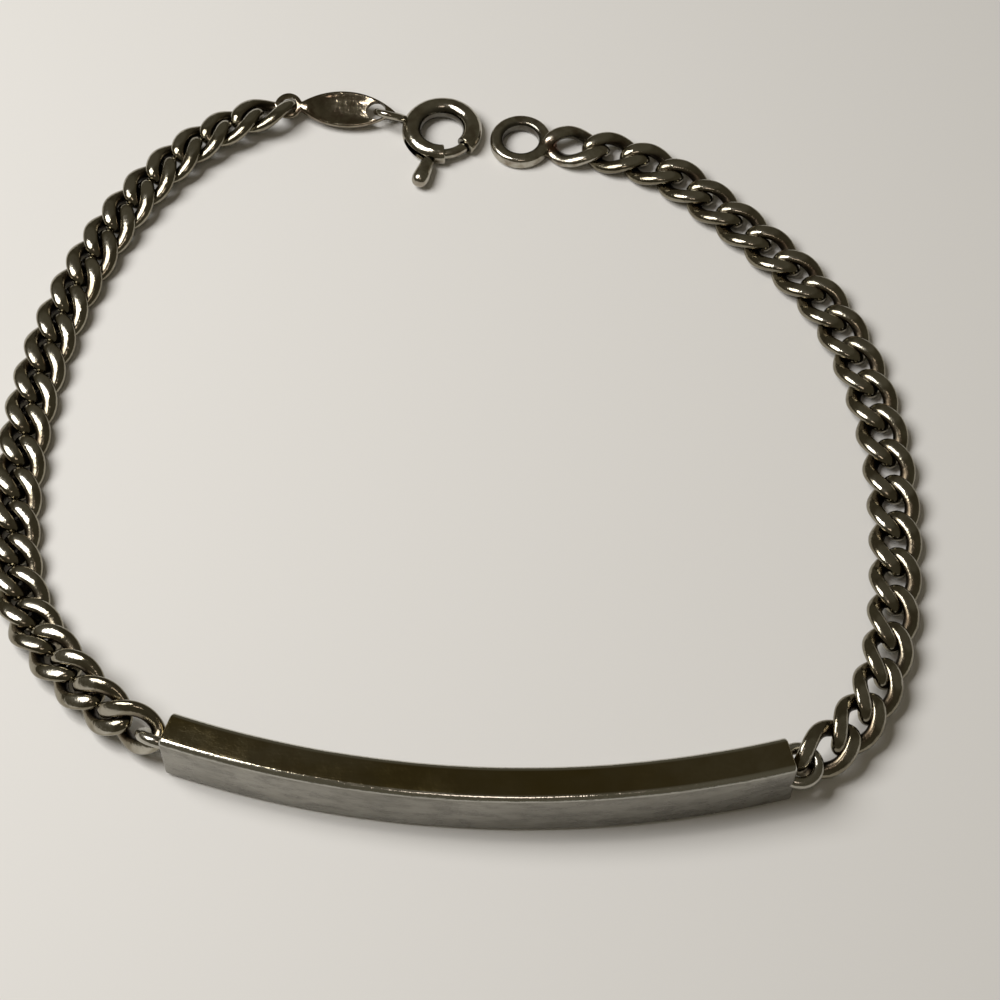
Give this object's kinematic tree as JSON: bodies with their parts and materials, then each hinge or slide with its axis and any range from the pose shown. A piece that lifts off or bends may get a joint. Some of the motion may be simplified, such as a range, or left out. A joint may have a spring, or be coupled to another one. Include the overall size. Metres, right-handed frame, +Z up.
{
  "type": "identity bracelet",
  "caption": "Identity bracelet: a plain curved bar on edge, curb chain on both sides, a leaf tag, a spring ring clasp with a sprung bolt, and an end ring; laid open.",
  "frame": {"origin": "middle of the bar's lower edge, on the surface that the bracelet lies on", "axes": "+Y from the bar to the clasp, +Z up from the surface, +X to the end ring's side"},
  "size_m": [0.0617, 0.0578, 0.0044],
  "materials": {
    "bar_silver": "worn, tarnished silver with fine scratches",
    "chain_silver": "tarnished silver with polished flats",
    "tag_silver": "brown tarnish on polished silver",
    "clasp_silver": "tarnished polished silver",
    "ring_silver": "tarnished silver with a brown solder stain"
  },
  "bodies": {
    "bracelet": {"bar": "bar_silver", "chain_left": "chain_silver", "chain_right": "chain_silver", "tag": "tag_silver", "clasp_ring": "clasp_silver", "end_ring": "ring_silver"},
    "trigger": {"clasp_bolt": "clasp_silver"}
  },
  "joints": [
    {"name": "bolt_draw", "type": "hinge", "parent": "bracelet", "child": "trigger", "pos_m": [-0.0052, 0.0537, 0.00072], "axis": [0, 0, -1], "range_deg": [0, 44], "stiffness_Nm_per_rad": 0.004, "springref_deg": -17.19}
  ]
}
